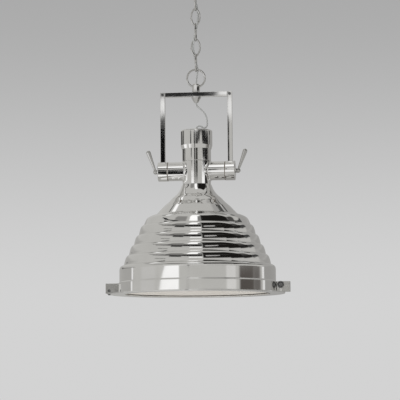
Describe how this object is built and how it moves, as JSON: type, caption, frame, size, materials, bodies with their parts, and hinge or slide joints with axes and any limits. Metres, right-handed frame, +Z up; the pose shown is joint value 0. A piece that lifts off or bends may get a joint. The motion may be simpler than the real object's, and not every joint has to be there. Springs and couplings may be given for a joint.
{
  "type": "pendant light",
  "caption": "Ribbed metal pendant light hung by a chain and ring from a canopy, with a clamped tilting yoke and a hinged rim that holds a frosted glass pane.",
  "frame": {"origin": "centre of the ceiling plate's flat upper face, which bears on the ceiling", "axes": "+Z up into the ceiling, +X along the arms towards the latch, the viewer stands on -Y"},
  "size_m": [0.506, 0.478, 0.9002],
  "materials": {
    "polished_metal": "polished nickel plating",
    "plain_steel": "plain zinc-plated steel",
    "cord_jacket": "clear jacket over silver-grey cores",
    "frosted_glass": "frosted, warm white",
    "black_rubber": "matt",
    "porcelain": "glazed",
    "pale_plastic": "matt",
    "washer_fibre": "matt fibre",
    "bulb_metal": "bright"
  },
  "bodies": {
    "ceiling": {"ceiling_plate": "plain_steel", "ceiling_canopy": "polished_metal", "canopy_loop": "polished_metal", "canopy_cord_bush": "black_rubber", "terminal_block": "pale_plastic", "cord_chain": "cord_jacket"},
    "chain_link_1": {"chain_link_1": "polished_metal"},
    "chain_link_2": {"chain_link_2": "polished_metal"},
    "chain_link_3": {"chain_link_3": "polished_metal"},
    "chain_link_4": {"chain_link_4": "polished_metal"},
    "chain_link_5": {"chain_link_5": "polished_metal"},
    "ring": {"hanging_ring": "polished_metal"},
    "yoke": {"eye_stud": "polished_metal", "yoke_top_bar": "polished_metal", "cord_gland": "polished_metal", "yoke_side_bar_left": "polished_metal", "yoke_side_bar_right": "polished_metal", "yoke_corner_screw_left": "polished_metal", "yoke_corner_screw_right": "polished_metal", "clamp_hub_left": "polished_metal", "clamp_hub_right": "polished_metal"},
    "lamp": {"neck_housing": "polished_metal", "neck_sleeve": "polished_metal", "neck_cap": "polished_metal", "cap_cord_grip": "polished_metal", "holder_bridge": "plain_steel", "lamp_holder": "porcelain", "bulb_cap": "bulb_metal", "bulb_glass": "frosted_glass", "shade": "polished_metal", "shade_nut": "plain_steel", "hinge_bracket": "polished_metal", "hinge_pin": "polished_metal", "latch_bracket": "polished_metal", "cord_slack": "cord_jacket", "friction_washer_left": "washer_fibre", "friction_washer_right": "washer_fibre", "bracket_screw_left": "plain_steel", "bracket_screw_right": "plain_steel"},
    "lever_left": {"clamp_screw_left": "polished_metal", "clamp_handle_left": "polished_metal"},
    "lever_right": {"clamp_screw_right": "polished_metal", "clamp_handle_right": "polished_metal"},
    "bezel": {"bezel_ring": "polished_metal", "glass_gasket": "black_rubber", "glass_pane": "frosted_glass", "glass_snap_ring": "plain_steel", "latch_nut": "polished_metal"},
    "latch": {"latch_screw": "polished_metal"}
  },
  "joints": [
    {"name": "chain_swing_1", "type": "hinge", "parent": "ceiling", "child": "chain_link_1", "pos_m": [0, 0, -0.0678], "axis": [1, 0, 0], "range_deg": [-20, 20], "deforming": ["cord_chain"]},
    {"name": "chain_swing_2", "type": "hinge", "parent": "chain_link_1", "child": "chain_link_2", "pos_m": [0, 0, -0.1106], "axis": [0, 1, 0], "range_deg": [-20, 20]},
    {"name": "chain_swing_3", "type": "hinge", "parent": "chain_link_2", "child": "chain_link_3", "pos_m": [0, 0, -0.1536], "axis": [1, 0, 0], "range_deg": [-20, 20]},
    {"name": "chain_swing_4", "type": "hinge", "parent": "chain_link_3", "child": "chain_link_4", "pos_m": [0, 0, -0.1966], "axis": [0, 1, 0], "range_deg": [-20, 20]},
    {"name": "chain_swing_5", "type": "hinge", "parent": "chain_link_4", "child": "chain_link_5", "pos_m": [0, 0, -0.2396], "axis": [1, 0, 0], "range_deg": [-20, 20]},
    {"name": "ring_swing", "type": "hinge", "parent": "chain_link_5", "child": "ring", "pos_m": [0, 0, -0.2826], "axis": [0, 1, 0], "range_deg": [-20, 20]},
    {"name": "yoke_swing", "type": "hinge", "parent": "ring", "child": "yoke", "pos_m": [0, 0, -0.3271], "axis": [1, 0, 0], "range_deg": [-25, 25]},
    {"name": "lamp_tilt", "type": "hinge", "parent": "yoke", "child": "lamp", "pos_m": [0, 0, -0.5616], "axis": [1, 0, 0], "range_deg": [-35, 35], "deforming": ["cord_slack"]},
    {"name": "clamp_turn_left", "type": "hinge", "parent": "lamp", "child": "lever_left", "pos_m": [-0.1143, 0, -0.5616], "axis": [1, 0, 0], "continuous": true},
    {"name": "clamp_turn_right", "type": "hinge", "parent": "lamp", "child": "lever_right", "pos_m": [0.1143, 0, -0.5616], "axis": [1, 0, 0], "continuous": true},
    {"name": "bezel_hinge", "type": "hinge", "parent": "lamp", "child": "bezel", "pos_m": [-0.243, 0, -0.8882], "axis": [0, 1, 0], "range_deg": [0, 95]},
    {"name": "latch_turn", "type": "hinge", "parent": "bezel", "child": "latch", "pos_m": [0.228, 0, -0.8772], "axis": [0, 1, 0], "continuous": true}
  ]
}
